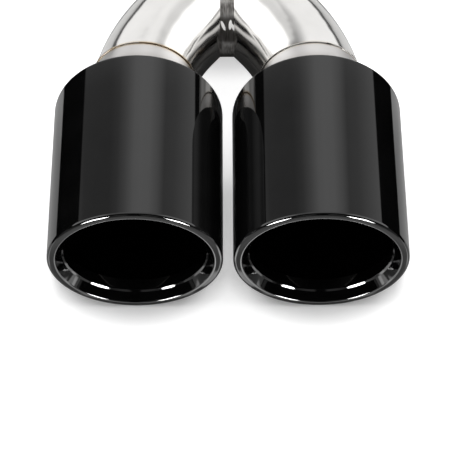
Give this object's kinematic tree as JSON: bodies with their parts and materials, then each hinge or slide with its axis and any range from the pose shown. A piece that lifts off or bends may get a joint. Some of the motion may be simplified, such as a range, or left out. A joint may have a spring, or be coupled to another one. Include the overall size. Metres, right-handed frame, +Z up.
{
  "type": "exhaust tip",
  "caption": "Exhaust tip with side-by-side slant-cut gloss black outlets, rolled lips, and polished bent pipes that merge in a Y to a slip-on inlet socket.",
  "frame": {"origin": "centre of the inlet socket's mouth", "axes": "+Y along the inlet axis, out of the socket towards the supply pipe, so the outlets face -Y; +X from the left outlet to the right one; +Z up, square to the plane of the pipes"},
  "size_m": [0.209, 0.3163, 0.1016],
  "materials": {
    "gloss_black": "gloss",
    "matte_black": "matte",
    "collar_steel": "satin",
    "polished_steel": "polished",
    "tinted_weld": "satin, heat tinted",
    "ground_weld": "ground"
  },
  "bodies": {
    "root": {"left_outer_sleeve": "gloss_black", "right_outer_sleeve": "gloss_black", "left_inner_liner": "matte_black", "right_inner_liner": "matte_black", "left_rear_cap": "gloss_black", "right_rear_cap": "gloss_black", "left_collar": "collar_steel", "right_collar": "collar_steel", "left_elbow": "polished_steel", "right_elbow": "polished_steel", "left_collar_weld": "tinted_weld", "right_collar_weld": "tinted_weld", "merge_weld": "ground_weld", "inlet_pipe": "polished_steel", "inlet_weld": "tinted_weld"}
  },
  "joints": []
}
